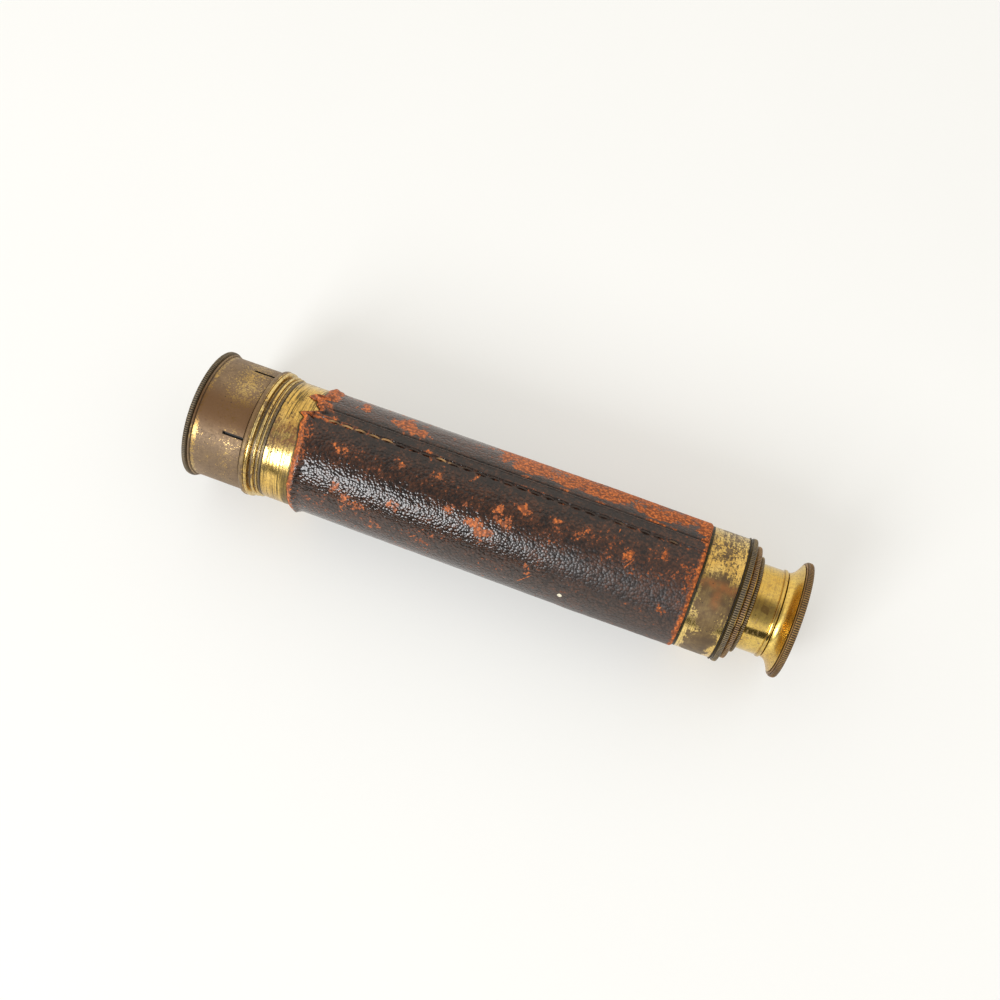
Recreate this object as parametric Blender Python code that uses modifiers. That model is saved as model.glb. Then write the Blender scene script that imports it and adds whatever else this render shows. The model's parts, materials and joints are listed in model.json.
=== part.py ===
"""Brass pocket telescope with a leather-covered barrel, three draw tubes and a push-on lens cap.

The instrument lies on its side with its draws closed. +X runs from the capped objective end to the
eyepiece, +Z is up, and the origin is on the table below the middle of its length.

Turned pieces are outlines of (station, radius) pairs in millimetres. A station is the distance from
the front face of the cap, along the optical axis.
"""
import math

import bmesh
import bpy

MM = 0.001
SEGMENTS = 36  # sides of every turned piece; one side faces straight down and rests on the table
FIT = 0.1  # radial play of pieces screwed or soldered together
RUNNING = 0.2  # radial play of a draw in its guide sleeve
JOINT_GAP = 0.3  # axial gap where one piece rests against the next

LENGTH = 242.1
WIDEST_R = 25.9  # rim of the cap and crest of the front collar
AXIS_HEIGHT = WIDEST_R * math.cos(math.pi / SEGMENTS)

# Barrel
BARREL_R = 24.0
BARREL_BORE = 23.1
COLLAR_FRONT = 23.7
COLLAR_REAR = 32.1
BARREL_REAR = 216.0
LEATHER_FRONT = 42.0
LEATHER_REAR = 201.8
LEATHER_R = 24.8
SEAM_ANGLE = math.radians(16.0)  # from straight up, towards +Y
THREAD_R = 0.3

# Cap and objective
CAP_SKIRT_R = 24.65
CAP_SKIRT_BORE = 24.05
SKIRT_REAR = 23.4
SLIT_COUNT = 5
SLIT_WIDTH = 0.8
SLIT_LENGTH = 8.3
SLIT_ANGLE = math.radians(-29.0)  # of the first slit, from straight up, towards +Y
OBJECTIVE_R = 20.6

# Draws: each entry is one draw, from the widest to the narrowest
DRAW_R = (21.0, 18.4, 16.2)
DRAW_BORE = (20.3, 17.8, 15.6)
DRAW_FRONT = (38.5, 40.2, 41.9)
DRAW_REAR = (219.9, 222.5, 233.0)
STOP_LENGTH = 6.0
SLEEVE_FRONT = (200.0, 205.0, 208.0)  # of the sleeve that guides each draw
SLEEVE_LIP = 3.0
RING_FRONT = (216.3, 220.2, 222.8)  # of the milled ring that each draw comes out of
RING_REAR = (219.6, 222.1, 224.2)
RING_R = (24.6, 22.4, 19.1)
BAFFLE_HOLE_R = (15.5, 13.0)

# Eyepiece
NECK_R = 17.0
BELL_FRONT = 234.6
EYECUP_R = 22.9
EYECUP_FRONT = 239.9
EYE_HOLE_R = 4.5

COLOURS = {  # base colour, metallic, roughness
    "aged_brass": ((0.42, 0.29, 0.13), 1.0, 0.38),
    "polished_brass": ((0.72, 0.52, 0.22), 1.0, 0.24),
    "dark_brass": ((0.17, 0.12, 0.07), 1.0, 0.45),
    "blackened_brass": ((0.03, 0.03, 0.03), 0.6, 0.7),
    "leather": ((0.06, 0.04, 0.03), 0.0, 0.55),
    "thread": ((0.05, 0.03, 0.02), 0.0, 0.8),
    "optical_glass": ((0.85, 0.9, 0.9), 0.0, 0.02),
}


# ---------------------------------------------------------------- scene and helpers

def clear_scene():
    for old in list(bpy.data.objects):
        bpy.data.objects.remove(old)


def new_collection(name):
    collection = bpy.data.collections.new(name)
    bpy.context.scene.collection.children.link(collection)
    return collection


def make_materials():
    materials = {}
    for name, (colour, metallic, roughness) in COLOURS.items():
        material = bpy.data.materials.new(name)
        material.use_nodes = True
        shader = material.node_tree.nodes["Principled BSDF"]
        shader.inputs["Base Color"].default_value = (*colour, 1.0)
        shader.inputs["Metallic"].default_value = metallic
        shader.inputs["Roughness"].default_value = roughness
        materials[name] = material
    return materials


def add_axis(name, parent=None):
    """An empty whose Z axis is the optical axis, with station 0 at its origin."""
    empty = bpy.data.objects.new(name, None)
    parts.objects.link(empty)
    if parent:
        empty.parent = parent
    else:
        empty.location = (-LENGTH / 2 * MM, 0.0, AXIS_HEIGHT * MM)
        empty.rotation_euler = (0.0, math.pi / 2, 0.0)
    return empty


def place(obj, axis, material):
    obj.parent = axis
    obj.data.materials.append(materials[material])


def turned(name, outline, axis, material):
    """Turn an outline that runs to the rear along its outer side and back along its inner side.

    An outline that starts and ends on the axis makes a solid piece, and any other one a ring.
    """
    half_step = math.pi / SEGMENTS
    mesh = bpy.data.meshes.new(name)
    shape = bmesh.new()
    points = [
        shape.verts.new((r * math.cos(half_step) * MM, r * math.sin(half_step) * MM, s * MM))
        for s, r in reversed(outline)
    ]
    for first, second in zip(points, points[1:]):
        shape.edges.new((first, second))
    if outline[0][1] > 0:
        shape.edges.new((points[-1], points[0]))
    shape.to_mesh(mesh)
    shape.free()
    obj = bpy.data.objects.new(name, mesh)
    parts.objects.link(obj)
    screw = obj.modifiers.new("Turn", "SCREW")
    screw.steps = screw.render_steps = SEGMENTS
    screw.use_merge_vertices = True
    screw.merge_threshold = 0.00001
    place(obj, axis, material)
    return obj


def tube(name, front, rear, outer, inner, axis, material):
    return turned(name, [(front, outer), (rear, outer), (rear, inner), (front, inner)], axis, material)


def slot_cutter(name, axis, angle, front, rear, width, radius):
    """A radial blade at one angle around the axis, from straight up towards +Y."""
    mesh = bpy.data.meshes.new(name)
    shape = bmesh.new()
    bmesh.ops.create_cube(shape, size=1.0)
    bmesh.ops.scale(shape, vec=(radius * MM, width * MM, (rear - front) * MM), verts=shape.verts)
    shape.to_mesh(mesh)
    shape.free()
    blade = bpy.data.objects.new(name, mesh)
    cutters.objects.link(blade)
    blade.parent = axis
    blade.location = (
        -math.cos(angle) * radius * MM,
        math.sin(angle) * radius * MM,
        (front + rear) / 2 * MM,
    )
    blade.rotation_euler = (0.0, 0.0, -angle)
    blade.hide_render = True
    blade.display_type = "WIRE"
    return blade


def cut_slots(obj, axis, count, first_angle, front, rear, width, radius):
    for index in range(count):
        angle = first_angle + index * 2 * math.pi / count
        blade = slot_cutter(f"{obj.name}_slot_{index + 1}", axis, angle, front, rear, width, radius)
        cut = obj.modifiers.new(f"Slot {index + 1}", "BOOLEAN")
        cut.operation = "DIFFERENCE"
        cut.solver = "EXACT"
        cut.object = blade


def arc(front, rear, low, high, steps=3):
    """Points of half a round bead, from low at front over high to low at rear."""
    return [
        (
            front + (rear - front) * (1 - math.cos(math.pi * k / steps)) / 2,
            low + (high - low) * math.sin(math.pi * k / steps),
        )
        for k in range(steps + 1)
    ]


def lens_side(vertex, edge, radius, steps=3):
    """Points from the axis out to the edge of one lens face, as a parabola close to its sphere."""
    return [
        (vertex + (edge - vertex) * (k / steps) ** 2, radius * k / steps) for k in range(steps + 1)
    ]


def lens(name, front_vertex, front_edge, rear_edge, rear_vertex, radius, axis):
    front = lens_side(front_vertex, front_edge, radius)
    rear = lens_side(rear_vertex, rear_edge, radius)
    return turned(name, front + rear[::-1], axis, "optical_glass")


# ---------------------------------------------------------------- cap

def make_cap(axis):
    turned(
        "cap_plate",
        [(0.0, 0.0), (0.0, 25.4), (0.3, WIDEST_R), (1.5, WIDEST_R), (1.7, 25.6), (1.7, 23.9),
         (3.5, 23.9), (3.5, 22.9), (1.7, 22.9), (1.7, 0.0)],
        axis, "dark_brass",
    )
    skirt = turned(
        "cap_skirt",
        arc(2.0, 3.0, CAP_SKIRT_R, 25.3)
        + [(SKIRT_REAR, CAP_SKIRT_R), (SKIRT_REAR, CAP_SKIRT_BORE), (2.0, CAP_SKIRT_BORE)],
        axis, "aged_brass",
    )
    cut_slots(skirt, axis, SLIT_COUNT, SLIT_ANGLE, SKIRT_REAR - SLIT_LENGTH, SKIRT_REAR + 1.0,
              SLIT_WIDTH, CAP_SKIRT_R)


# ---------------------------------------------------------------- barrel and objective

def make_front_collar(axis):
    socket_r = BARREL_BORE - FIT
    bore = OBJECTIVE_R + 1.0
    turned(
        "front_collar",
        [(COLLAR_FRONT, 24.7), (24.2, 25.7), (24.8, WIDEST_R), (25.6, 25.7), (26.9, 25.0),
         (27.9, 24.3), (28.3, 24.0)]
        + arc(29.0, 30.1, 24.0, 24.8)
        + arc(30.5, 31.3, 23.9, 24.5)
        + [(COLLAR_REAR, 23.9), (COLLAR_REAR, socket_r), (37.8, socket_r), (37.8, bore),
           (COLLAR_FRONT, bore)],
        axis, "polished_brass",
    )


def make_objective(axis):
    bore = OBJECTIVE_R + FIT
    screw_r = OBJECTIVE_R + 0.9
    turned(
        "objective_cell",
        [(4.3, 23.5), (4.6, 23.75), (23.4, 23.75), (23.4, screw_r), (33.0, screw_r), (33.0, bore),
         (6.6, bore), (6.6, 19.4), (4.3, 19.8)],
        axis, "blackened_brass",
    )
    lens("crown_lens", 5.2, 6.9, 9.2, 11.4, OBJECTIVE_R, axis)
    lens("flint_lens", 11.7, 9.5, 13.4, 13.4, OBJECTIVE_R, axis)
    tube("lens_retaining_ring", 13.7, 15.9, OBJECTIVE_R, 19.4, axis, "blackened_brass")


def make_barrel(axis):
    tube("barrel_tube", COLLAR_REAR + JOINT_GAP, BARREL_REAR, BARREL_R, BARREL_BORE, axis,
         "aged_brass")
    turned(
        "leather_cover",
        [(LEATHER_FRONT, BARREL_R + 0.6), (43.5, 25.3), (45.5, 24.7), (75.0, LEATHER_R),
         (115.0, LEATHER_R), (140.0, 24.9), (160.0, 25.05), (178.0, 24.85),
         (LEATHER_REAR - 0.4, 24.75), (LEATHER_REAR, BARREL_R + 0.5),
         (LEATHER_REAR, BARREL_R + FIT), (LEATHER_FRONT, BARREL_R + FIT)],
        axis, "leather",
    )


def make_seam_thread(axis):
    """The waxed thread along the lap seam, lying on the leather and rising with it."""
    curve = bpy.data.curves.new("seam_thread", "CURVE")
    curve.dimensions = "3D"
    curve.bevel_depth = THREAD_R * MM
    curve.bevel_resolution = 1
    curve.use_fill_caps = True
    stations = (47.0, 115.0, 140.0, 160.0, 178.0, 199.0)
    heights = (LEATHER_R, LEATHER_R, 24.9, 25.05, 24.85, 24.8)
    spline = curve.splines.new("POLY")
    spline.points.add(len(stations) - 1)
    for point, station, height in zip(spline.points, stations, heights):
        radius = height + THREAD_R + FIT
        point.co = (
            -math.cos(SEAM_ANGLE) * radius * MM,
            math.sin(SEAM_ANGLE) * radius * MM,
            station * MM,
            1.0,
        )
    obj = bpy.data.objects.new("seam_thread", curve)
    parts.objects.link(obj)
    place(obj, axis, "thread")


# ---------------------------------------------------------------- guides and draws

def make_end_ring(name, index, socket_bore, axis, material):
    """The milled ring screwed into the end of a tube, which holds the guide of the next draw."""
    front, rear, radius = RING_FRONT[index], RING_REAR[index], RING_R[index]
    bore = DRAW_R[index] + RUNNING + 0.7
    socket_r = socket_bore - FIT
    turned(
        name,
        [(SLEEVE_FRONT[index] + SLEEVE_LIP + JOINT_GAP, socket_r), (front, socket_r),
         (front, radius - 0.5), (front + 0.3, radius), (rear - 0.3, radius), (rear, radius - 0.3),
         (rear, bore), (SLEEVE_FRONT[index] + SLEEVE_LIP + JOINT_GAP, bore)],
        axis, material,
    )


def make_guide_sleeve(name, index, socket_bore, axis):
    """The split spring sleeve that a draw slides in. Its lip stops the draw from pulling out."""
    front, rear = SLEEVE_FRONT[index], RING_REAR[index] - JOINT_GAP
    bore = DRAW_R[index] + RUNNING
    outer = bore + 0.7 - FIT
    lip_r = socket_bore - FIT
    sleeve = turned(
        name,
        [(front, lip_r), (front + SLEEVE_LIP, lip_r), (front + SLEEVE_LIP, outer), (rear, outer),
         (rear, bore), (front, bore)],
        axis, "aged_brass",
    )
    cut_slots(sleeve, axis, 3, math.radians(15.0), front + SLEEVE_LIP + 1.0, rear - 2.0, 0.8, outer)


def make_draw_tube(index, axis, material):
    number = index + 1
    front = DRAW_FRONT[index]
    tube(f"draw_{number}_tube", front, DRAW_REAR[index], DRAW_R[index], DRAW_BORE[index], axis,
         material)
    outer_bore = BARREL_BORE if index == 0 else DRAW_BORE[index - 1]
    tube(f"draw_{number}_stop_collar", front, front + STOP_LENGTH, outer_bore - RUNNING,
         DRAW_R[index] + FIT, axis, "aged_brass")


def make_baffle(index, axis):
    """A blackened disc in the front of a draw, which keeps stray light off its bore."""
    front = DRAW_FRONT[index] + 0.2
    tube(f"draw_{index + 1}_baffle", front, front + 0.8, DRAW_BORE[index] - FIT,
         BAFFLE_HOLE_R[index], axis, "blackened_brass")


def make_erector(axis):
    """The cartridge in the front of the last draw that turns the image upright."""
    cell_r = DRAW_BORE[2] - FIT
    tube("erector_tube", 46.0, 122.0, cell_r, 14.8, axis, "blackened_brass")
    tube("erector_front_cell", 43.0, 45.7, cell_r, 9.0, axis, "aged_brass")
    lens("erector_front_lens", 46.9, 48.3, 49.6, 50.2, 14.7, axis)
    tube("erector_stop", 82.0, 83.0, 14.7, 4.0, axis, "blackened_brass")
    lens("erector_rear_lens", 117.4, 118.0, 119.3, 120.7, 14.7, axis)
    tube("erector_rear_cell", 122.3, 125.0, cell_r, 10.5, axis, "aged_brass")


def make_eyepiece(axis):
    screw_r = DRAW_BORE[2] - FIT
    tube("eyepiece_tube", 196.0, 231.0, screw_r, 14.6, axis, "blackened_brass")
    lens("field_lens", 198.8, 200.6, 202.4, 202.4, 14.5, axis)
    tube("field_lens_ring", 202.8, 205.0, 14.5, 12.6, axis, "blackened_brass")
    tube("field_stop", 214.0, 215.0, 14.5, 6.5, axis, "blackened_brass")
    turned(
        "eyepiece_neck",
        [(224.5, NECK_R), (232.6, NECK_R)]
        + arc(232.7, 233.5, NECK_R, 17.6)
        + arc(233.6, 234.3, 17.1, 17.6)
        + [(234.3, 15.4), (233.3, 15.4), (233.3, DRAW_R[2] + FIT), (224.5, DRAW_R[2] + FIT)],
        axis, "polished_brass",
    )
    bell_flare = [
        (BELL_FRONT + (239.3 - BELL_FRONT) * k / 4, 17.5 + 4.1 * (k / 4) ** 1.7) for k in range(5)
    ]
    turned(
        "eyepiece_bell",
        bell_flare + [(239.6, 21.6), (239.6, 12.0), (238.0, 9.0), (238.0, 7.6), (231.6, 7.6),
                      (231.6, 14.4), (BELL_FRONT, 14.4)],
        axis, "polished_brass",
    )
    turned("eye_lens_cell", [(229.0, 7.4), (236.4, 7.4), (236.4, 4.6), (235.6, 4.6), (235.6, 6.2),
                             (229.0, 6.2)], axis, "blackened_brass")
    lens("eye_lens", 232.2, 232.2, 233.8, 235.2, 6.1, axis)
    turned(
        "eyecup",
        [(EYECUP_FRONT, 21.6), (EYECUP_FRONT, 22.5), (EYECUP_FRONT + 0.3, EYECUP_R),
         (LENGTH - 0.3, EYECUP_R), (LENGTH, 22.5), (LENGTH, 20.6), (241.2, 15.0), (239.6, 9.0),
         (237.6, EYE_HOLE_R), (236.8, EYE_HOLE_R), (236.8, 7.4), (238.3, 7.4), (240.0, 12.6)],
        axis, "dark_brass",
    )


# ---------------------------------------------------------------- finish

def settle_meshes():
    """Turn each piece into its finished mesh, shaded smooth with crisp turned edges."""
    depsgraph = bpy.context.evaluated_depsgraph_get()
    for obj in list(parts.objects):
        if obj.type == "EMPTY":
            continue
        mesh = bpy.data.meshes.new_from_object(obj.evaluated_get(depsgraph))
        if obj.type == "CURVE":
            name, axis = obj.name, obj.parent
            bpy.data.objects.remove(obj)
            obj = bpy.data.objects.new(name, mesh)
            parts.objects.link(obj)
            obj.parent = axis
            weld(mesh)
        else:
            obj.modifiers.clear()
            obj.data = mesh
        mesh.shade_smooth()
        mesh.set_sharp_from_angle(angle=math.radians(25.0))


def weld(mesh):
    shape = bmesh.new()
    shape.from_mesh(mesh)
    bmesh.ops.remove_doubles(shape, verts=shape.verts, dist=0.00001)
    shape.to_mesh(mesh)
    shape.free()


def build():
    barrel_axis = add_axis("barrel_axis")
    cap_axis = add_axis("cap_axis", barrel_axis)
    make_cap(cap_axis)
    make_front_collar(barrel_axis)
    make_objective(barrel_axis)
    make_barrel(barrel_axis)
    make_seam_thread(barrel_axis)
    make_end_ring("barrel_end_ring", 0, BARREL_BORE, barrel_axis, "dark_brass")
    make_guide_sleeve("barrel_guide_sleeve", 0, BARREL_BORE, barrel_axis)
    axis = barrel_axis
    for index, material in enumerate(("aged_brass", "aged_brass", "polished_brass")):
        axis = add_axis(f"draw_{index + 1}_axis", axis)
        make_draw_tube(index, axis, material)
        if index < 2:
            make_end_ring(f"draw_{index + 1}_end_ring", index + 1, DRAW_BORE[index], axis,
                          "dark_brass")
            make_guide_sleeve(f"draw_{index + 1}_guide_sleeve", index + 1, DRAW_BORE[index], axis)
            make_baffle(index, axis)
    make_erector(axis)
    make_eyepiece(axis)
    settle_meshes()


clear_scene()
parts = new_collection("brass_telescope")
cutters = new_collection("cutters")
materials = make_materials()
build()
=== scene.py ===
"""Looks for the brass telescope: fine turned brass, pebbled leather, stitches and a soft studio.

Pieces are built about the optical axis. A station is a distance in millimetres from the front face of
the cap, and an angle runs around the axis from straight up towards +Y.
"""
import json
from math import ceil, cos, floor, pi, radians, sin

import bmesh
import bpy
import numpy as np
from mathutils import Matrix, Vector, noise

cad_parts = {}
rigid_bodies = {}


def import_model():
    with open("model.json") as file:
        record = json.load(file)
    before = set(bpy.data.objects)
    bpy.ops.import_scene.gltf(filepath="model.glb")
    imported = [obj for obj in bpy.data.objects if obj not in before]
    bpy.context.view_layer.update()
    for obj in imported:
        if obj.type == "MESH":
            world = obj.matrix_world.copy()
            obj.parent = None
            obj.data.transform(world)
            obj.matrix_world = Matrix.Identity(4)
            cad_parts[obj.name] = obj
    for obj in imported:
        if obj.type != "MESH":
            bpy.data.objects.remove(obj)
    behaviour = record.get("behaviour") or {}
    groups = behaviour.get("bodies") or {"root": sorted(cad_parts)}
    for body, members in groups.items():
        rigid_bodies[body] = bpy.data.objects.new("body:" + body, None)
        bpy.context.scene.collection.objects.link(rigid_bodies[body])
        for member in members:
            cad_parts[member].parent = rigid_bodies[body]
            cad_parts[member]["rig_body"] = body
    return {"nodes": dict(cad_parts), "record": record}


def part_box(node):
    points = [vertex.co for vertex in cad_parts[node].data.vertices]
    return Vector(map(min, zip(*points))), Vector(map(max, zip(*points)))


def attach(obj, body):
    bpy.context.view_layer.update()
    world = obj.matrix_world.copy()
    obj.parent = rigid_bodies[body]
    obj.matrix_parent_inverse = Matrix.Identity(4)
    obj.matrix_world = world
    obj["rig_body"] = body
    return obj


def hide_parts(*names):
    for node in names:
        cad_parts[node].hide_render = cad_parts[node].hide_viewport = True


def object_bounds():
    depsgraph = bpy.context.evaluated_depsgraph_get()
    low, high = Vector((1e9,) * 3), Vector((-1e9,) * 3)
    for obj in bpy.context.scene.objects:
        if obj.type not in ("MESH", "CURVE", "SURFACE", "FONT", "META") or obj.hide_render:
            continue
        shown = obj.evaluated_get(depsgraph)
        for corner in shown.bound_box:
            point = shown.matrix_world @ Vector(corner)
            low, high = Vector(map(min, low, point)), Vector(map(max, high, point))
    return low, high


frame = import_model()
CAD_LOW, CAD_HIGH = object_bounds()

MM = 0.001
CAD_SIDES = 36  # sides of the plain turned solids
COLUMNS_PER_TOOTH = 6  # columns of a milled piece's mesh for each of its teeth
FRONT_X = CAD_LOW[0]
AXIS_HEIGHT = (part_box("barrel_tube")[0].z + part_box("barrel_tube")[1].z) / 2
AXIS = Vector((0.0, 0.0, AXIS_HEIGHT))  # a point on the optical axis

VIEW_AZIMUTH = radians(20.53)
VIEW_ELEVATION = radians(72.19)
CAMERA_FROM_AXIS = Vector((0.05125, -0.1310, 0.4559))
LENS_MM = 43.96


def span(node):
    """First station, last station and outer radius of a plain turned solid, in millimetres."""
    low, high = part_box(node)
    radius = (high.y - low.y) / 2 / MM / cos(pi / CAD_SIDES)
    return (low.x - FRONT_X) / MM, (high.x - FRONT_X) / MM, radius


def station_x(station):
    return FRONT_X + station * MM


def new_object(name, data):
    obj = bpy.data.objects.new(name, data)
    bpy.context.scene.collection.objects.link(obj)
    return obj


# ---- mesh building

def add_object(name, mesh, node, material):
    """A finished piece that stands for one plain solid and moves with its body."""
    obj = new_object(name, mesh)
    obj.location = AXIS
    mesh.materials.append(material)
    body = frame["nodes"][node]["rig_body"]
    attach(obj, body)
    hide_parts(node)
    return obj


def ring_mesh(name, stations, radii, angles, sharp=30.0):
    """A mesh from rows of points around the axis. The last row joins the first one."""
    rows, columns = radii.shape
    spun = np.empty((rows, columns, 3))
    spun[..., 0] = FRONT_X + stations * MM
    spun[..., 1] = radii * np.sin(angles)[None, :] * MM
    spun[..., 2] = radii * np.cos(angles)[None, :] * MM
    row = np.arange(rows)[:, None]
    column = np.arange(columns)[None, :]
    next_row, next_column = (row + 1) % rows, (column + 1) % columns
    quads = np.stack(
        [row * columns + column, next_row * columns + column,
         next_row * columns + next_column, row * columns + next_column], axis=-1
    )
    on_axis = radii.max(axis=1) < 1e-6
    if on_axis.any():
        quads = quads[:-1]
    mesh = bpy.data.meshes.new(name)
    mesh.from_pydata(spun.reshape(-1, 3).tolist(), [], quads.reshape(-1, 4).tolist())
    shape = bmesh.new()
    shape.from_mesh(mesh)
    if on_axis.any():
        bmesh.ops.remove_doubles(shape, verts=shape.verts, dist=1e-7)
    shape.to_mesh(mesh)
    shape.free()
    mesh.shade_smooth()
    mesh.set_sharp_from_angle(angle=radians(sharp))
    return mesh


def eased(outline, ease, closed=True):
    """Round each corner of an outline with a short curve, as a lathe and years of handling do."""
    points = [Vector((p[0], p[1], p[2] if len(p) > 2 else 0.0)) for p in outline]
    result = []
    for index, here in enumerate(points):
        if not closed and index in (0, len(points) - 1):
            result.append(here)
            continue
        before, after = points[index - 1], points[(index + 1) % len(points)]
        back = (before - here).xy
        ahead = (after - here).xy
        if back.length < 1e-6 or ahead.length < 1e-6:
            continue
        turn = pi - back.angle(ahead)
        if turn < radians(18.0):
            result.append(here)
            continue
        reach = min(ease, 0.4 * back.length, 0.4 * ahead.length)
        start = here.xy + back.normalized() * reach
        end = here.xy + ahead.normalized() * reach
        for t in (0.0, 0.33, 0.67, 1.0):
            p = start * (1 - t) ** 2 + here.xy * 2 * t * (1 - t) + end * t * t
            result.append(Vector((p.x, p.y, here.z)))
    return result


def wobble(stations, angles, amount, seed):
    """Small dents and out-of-round that a handled tube has."""
    s, a = stations / 30.0, angles[None, :]
    waves = (
        np.sin(2 * a + seed + 1.3 * s) + 0.6 * np.sin(3 * a - 2.1 * s + 2 * seed)
        + 0.5 * np.sin(5 * a + 3.7 * s + 5 * seed) + 0.35 * np.sin(8 * a - 6.1 * s + 3 * seed)
    )
    return amount * waves / 2.45


def turned(node, outline, material, columns=288, teeth=0, ease=0.08, dent=0.012, closed=True):
    """A finished turned piece. A third value in an outline point is the depth of milling there."""
    points = eased(outline, ease, closed)
    if teeth:
        columns = teeth * COLUMNS_PER_TOOTH
    angles = np.arange(columns) * 2 * pi / columns
    stations = np.array([p.x for p in points])[:, None] * np.ones(columns)[None, :]
    radii = np.array([p.y for p in points])[:, None] * np.ones(columns)[None, :]
    depth = np.array([p.z for p in points])[:, None]
    if teeth:
        tooth = 0.5 - 0.5 * np.cos(teeth * angles)
        worn = 0.85 + 0.15 * np.sin(3 * angles + 1.0) * np.sin(11 * angles)
        radii -= depth * (tooth ** 1.4 * worn)[None, :]
    radii = np.where(radii > 1e-6, radii + wobble(stations, angles, dent, len(node)), 0.0)
    mesh = ring_mesh(f"{node}_turned", stations, radii, angles)
    return add_object(f"{node}_turned", mesh, node, material)


def bead(front, rear, low, high):
    """Points over a half-round bead."""
    steps = 8
    return [
        (front + (rear - front) * (1 - cos(pi * k / steps)) / 2,
         low + (high - low) * sin(pi * k / steps))
        for k in range(steps + 1)
    ]


def milled_band(front, rear, radius, depth):
    """A slightly crowned band whose teeth fade out at both edges."""
    width = rear - front
    return [
        (front, radius - 0.25, 0.0), (front + 0.12 * width, radius - 0.05, 0.35 * depth),
        (front + 0.25 * width, radius, depth), (front + 0.5 * width, radius + 0.03, depth),
        (front + 0.75 * width, radius, depth), (front + 0.88 * width, radius - 0.05, 0.35 * depth),
        (rear, radius - 0.25, 0.0),
    ]


def cut(obj, blades):
    """Cut slots and leave one clean mesh."""
    for index, blade in enumerate(blades):
        step = obj.modifiers.new(f"cut {index}", "BOOLEAN")
        step.solver = "EXACT"
        step.object = blade
    depsgraph = bpy.context.evaluated_depsgraph_get()
    mesh = bpy.data.meshes.new_from_object(obj.evaluated_get(depsgraph))
    obj.modifiers.clear()
    obj.data = mesh
    mesh.shade_smooth()
    mesh.set_sharp_from_angle(angle=radians(30.0))
    for blade in blades:
        bpy.data.objects.remove(blade)


def slot_blade(angle, front, rear, width, radius):
    """A block with round ends that cuts one slot through a tube's wall."""
    mesh = bpy.data.meshes.new("blade")
    shape = bmesh.new()
    bmesh.ops.create_cube(shape, size=1.0)
    depth = 6.0
    bmesh.ops.scale(shape, vec=((rear - front) * MM, width * MM, depth * MM), verts=shape.verts)
    ends = [e for e in shape.edges if abs(e.verts[0].co.z - e.verts[1].co.z) > 1 * MM]
    bmesh.ops.bevel(shape, geom=ends, offset=0.35 * width * MM, segments=3, affect="EDGES")
    shape.to_mesh(mesh)
    shape.free()
    blade = new_object("blade", mesh)
    blade.location = (
        station_x((front + rear) / 2), sin(angle) * radius * MM,
        AXIS_HEIGHT + cos(angle) * radius * MM,
    )
    blade.rotation_euler = (-angle, 0.0, 0.0)
    return blade


# ---- material building

class Graph:
    """A node tree with short calls for the nodes used here."""

    def __init__(self, tree):
        self.tree = tree

    def add(self, kind, *values, **settings):
        """A new node with these values in its first sockets."""
        node = self.tree.nodes.new(kind)
        for key, value in settings.items():
            setattr(node, key, value)
        for socket, value in zip(node.inputs, values):
            self.put(socket, value)
        return node

    def put(self, socket, value):
        if isinstance(value, bpy.types.NodeSocket):
            self.tree.links.new(value, socket)
        elif value is not None:
            socket.default_value = value

    def split(self, vector):
        return self.add("ShaderNodeSeparateXYZ", vector).outputs

    def math(self, operation, *values):
        return self.add("ShaderNodeMath", *values, operation=operation).outputs[0]

    def chain(self, operation, values):
        result = values[0]
        for value in values[1:]:
            result = self.math(operation, result, value)
        return result

    def times(self, *values):
        return self.chain("MULTIPLY", values)

    def most(self, *values):
        return self.chain("MAXIMUM", values)

    def total(self, *terms):
        """The sum of terms, where a pair is a value and its weight."""
        return self.chain("ADD", [self.times(*t) if isinstance(t, tuple) else t for t in terms])

    def less(self, a, b):
        return self.math("SUBTRACT", a, b)

    def inverse(self, a):
        return self.less(1.0, a)

    def step(self, value, low, high, start=0.0, end=1.0):
        """A smooth step from start at low to end at high."""
        values = (value, low, high, start, end)
        return self.add("ShaderNodeMapRange", *values, interpolation_type="SMOOTHSTEP").outputs[0]

    def window(self, value, low, high, soft):
        """One between low and high, fading to zero over soft on each side."""
        return self.times(
            self.step(value, low - soft, low + soft), self.step(value, high + soft, high - soft)
        )

    def windows(self, value, soft, *spans):
        """One inside any of the spans."""
        return self.most(*[self.window(value, low, high, soft) for low, high in spans])

    def mix(self, share, a, b):
        node = self.add("ShaderNodeMix", data_type="RGBA")
        self.put(node.inputs["Factor"], share)
        self.put(node.inputs[6], as_colour(a))
        self.put(node.inputs[7], as_colour(b))
        return node.outputs[2]

    def noise(self, vector, scale, detail=2.0, rough=0.5, distort=0.0, output=0):
        node = self.add("ShaderNodeTexNoise", vector)
        for name, value in (("Scale", scale), ("Detail", detail), ("Roughness", rough),
                            ("Distortion", distort)):
            node.inputs[name].default_value = value
        return node.outputs[output]

    def vector(self, operation, *values):
        node = self.add("ShaderNodeVectorMath", *values, operation=operation)
        return node.outputs["Value" if operation == "DISTANCE" else "Vector"]


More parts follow.
